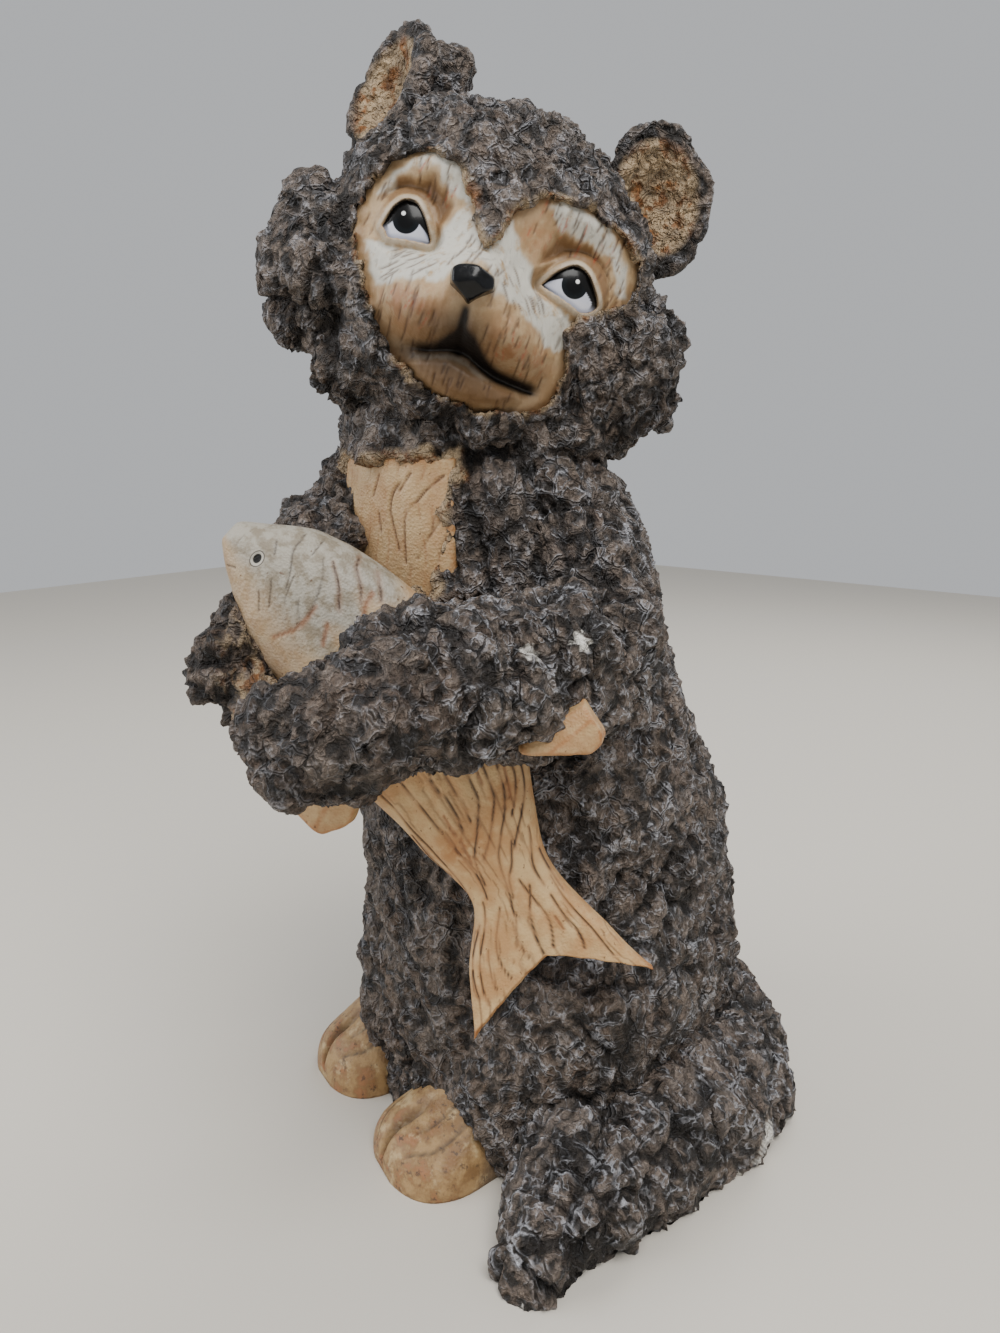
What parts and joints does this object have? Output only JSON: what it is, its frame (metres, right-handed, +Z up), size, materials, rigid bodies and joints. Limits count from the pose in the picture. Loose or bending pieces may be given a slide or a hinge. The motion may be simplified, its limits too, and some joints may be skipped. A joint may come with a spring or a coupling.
{
  "type": "bear figurine",
  "caption": "Cast resin figurine of a standing bear cub with a bushy tail, hugging a fish upright against its chest.",
  "frame": {"origin": "on the ground under the middle of the figure's outline", "axes": "+Z up, the feet point along -Y, the bear's left side and its tail are on +X, and the head is turned towards +X and -Y"},
  "size_m": [0.1759, 0.2376, 0.3833],
  "materials": {
    "painted_resin": "painted resin, dark brown coat with paler dry-brushed ridges, tan face, chest, feet and fish"
  },
  "bodies": {
    "root": {"bear_with_fish": "painted_resin"}
  },
  "joints": []
}
